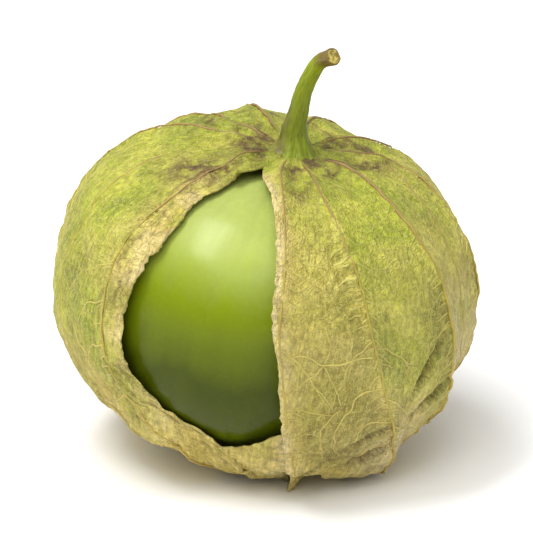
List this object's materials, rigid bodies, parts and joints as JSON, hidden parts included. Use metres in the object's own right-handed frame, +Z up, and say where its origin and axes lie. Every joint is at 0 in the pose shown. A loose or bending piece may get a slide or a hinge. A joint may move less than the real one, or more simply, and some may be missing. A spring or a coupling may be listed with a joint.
{
  "type": "tomatillo",
  "caption": "Tomatillo: a squat green fruit in a ribbed papery husk that is torn open down the front, with a curved stem on top; it rests on a small flat underneath.",
  "frame": {"origin": "bottom centre of the object's box, on the surface that the tomatillo rests on", "axes": "+Z up, -Y towards the torn opening in the husk, +X to the right as one faces the opening"},
  "size_m": [0.0558, 0.0568, 0.0573],
  "materials": {
    "husk": "dry, papery and veined, green above and tan towards the tear and the underside",
    "fruit": "smooth, waxy and glossy",
    "stem": "smooth and slightly waxy, with a dry tan cut end"
  },
  "bodies": {
    "root": {"husk": "husk", "fruit": "fruit", "stem": "stem"}
  },
  "joints": []
}
